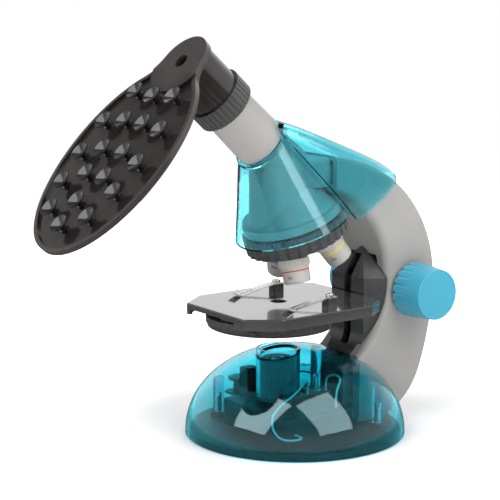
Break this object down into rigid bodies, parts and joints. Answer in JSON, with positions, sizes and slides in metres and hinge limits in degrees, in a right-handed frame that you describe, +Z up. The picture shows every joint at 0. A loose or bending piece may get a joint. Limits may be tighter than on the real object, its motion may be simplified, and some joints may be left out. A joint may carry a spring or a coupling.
{
  "type": "student microscope",
  "caption": "Toy compound microscope with an inclined tube, revolving objectives, focusing stage on a crescent arm, lit clear base and a phone holder of suction cups at the eyepiece.",
  "frame": {"origin": "centre of the round base on the surface it stands on", "axes": "+Z up, +Y towards the arm and the focus knobs, -Y towards the user, +X the user's right"},
  "size_m": [0.13, 0.256, 0.2349],
  "materials": {
    "clear_teal": "clear moulded teal plastic, high gloss",
    "warm_grey": "satin warm light grey",
    "black_gloss": "semi-gloss black",
    "sky_blue": "opaque light blue, satin",
    "steel": "bright plated",
    "spring_steel": "bright rolled strip",
    "brass": "plated brass",
    "clear_glass": "polished",
    "board": "printed circuit board",
    "wire_red": "insulated lead",
    "wire_black": "insulated lead",
    "wire_white": "insulated lead",
    "cell": "printed jacket",
    "rubber_black": "soft black rubber",
    "dark_plastic": "dull black",
    "white_plastic": "natural acetal"
  },
  "bodies": {
    "frame_body": {"base_plate": "dark_plastic", "rubber_pads": "rubber_black", "base_dome": "clear_teal", "base_screws": "steel", "battery_box": "dark_plastic", "battery_door": "dark_plastic", "battery_door_screw": "steel", "aa_cells": "cell", "battery_contacts": "spring_steel", "lamp_board": "board", "lamp_screw": "steel", "lamp_holder": "sky_blue", "led_lamp": "clear_glass", "condenser_lens": "clear_glass", "control_board": "board", "potentiometer": "sky_blue", "lead_positive": "wire_red", "lead_negative": "wire_black", "lead_control": "wire_white", "arm_right": "warm_grey", "arm_left": "warm_grey", "arm_screws": "steel", "focus_column": "black_gloss", "shaft_bushes": "white_plastic", "friction_washers": "rubber_black", "head_body": "warm_grey", "nosepiece_base": "warm_grey", "eyepiece_tube": "warm_grey", "prism": "clear_glass", "prism_holder": "dark_plastic", "hood_front": "clear_teal", "hood_rear": "clear_teal", "turret_screw": "steel", "click_spring": "spring_steel"},
    "focus_drive": {"focus_shaft": "steel", "focus_pinion": "white_plastic", "knob_left": "sky_blue", "knob_right": "sky_blue"},
    "stage": {"stage_plate": "black_gloss", "stage_carriage": "dark_plastic", "focus_rack": "white_plastic", "clip_posts": "black_gloss", "clip_screws": "steel", "diaphragm_housing": "dark_plastic", "housing_screws": "steel", "diaphragm_pivot": "brass"},
    "nosepiece_turret": {"turret": "black_gloss", "objective_4x": "warm_grey", "objective_10x": "warm_grey", "objective_40x": "warm_grey", "objective_lenses": "clear_glass"},
    "diaphragm": {"diaphragm_disc": "dark_plastic"},
    "clip_right": {"stage_clip_right": "spring_steel"},
    "clip_left": {"stage_clip_left": "spring_steel"},
    "eyepiece_unit": {"eyepiece": "black_gloss", "eyepiece_lenses": "clear_glass"},
    "phone_holder": {"phone_plate": "black_gloss", "suction_cups": "rubber_black"},
    "brightness": {"brightness_wheel": "dark_plastic"}
  },
  "joints": [
    {"name": "focus_turn", "type": "hinge", "parent": "frame_body", "child": "focus_drive", "pos_m": [0, 0.0714, 0.0807], "axis": [-1, 0, 0], "range_deg": [-114.6, 28.7]},
    {"name": "stage_slide", "type": "slide", "parent": "frame_body", "child": "stage", "axis": [0, 0, 1], "range_m": [-0.012, 0.003]},
    {"name": "turret_turn", "type": "hinge", "parent": "frame_body", "child": "nosepiece_turret", "pos_m": [0, 11.33703, -31.89641], "axis": [0, -0.3338, 0.9426], "continuous": true},
    {"name": "diaphragm_turn", "type": "hinge", "parent": "stage", "child": "diaphragm", "pos_m": [0, -0.028, 0.0723], "axis": [0, 0, 1], "continuous": true},
    {"name": "clip_right_turn", "type": "hinge", "parent": "stage", "child": "clip_right", "pos_m": [0.0255, 0.0052, 0.0843], "axis": [0, 0, 1], "range_deg": [-45, 30]},
    {"name": "clip_left_turn", "type": "hinge", "parent": "stage", "child": "clip_left", "pos_m": [-0.0255, 0.0052, 0.0843], "axis": [0, 0, 1], "range_deg": [-30, 45]},
    {"name": "eyepiece_turn", "type": "hinge", "parent": "frame_body", "child": "eyepiece_unit", "pos_m": [0, -0.04935, 0.19483], "axis": [0, -0.739, 0.6737], "continuous": true},
    {"name": "phone_holder_slide", "type": "slide", "parent": "eyepiece_unit", "child": "phone_holder", "axis": [0, -0.739, 0.6737], "range_m": [0, 0.024]},
    {"name": "brightness_turn", "type": "hinge", "parent": "frame_body", "child": "brightness", "pos_m": [-0.0502, -0.001, 0.0226], "axis": [0, 0, 1], "range_deg": [0, 270]}
  ],
  "couplings": [
    {"joint": "focus_turn", "follows": "stage_slide", "rad_per_m": 166.67}
  ]
}
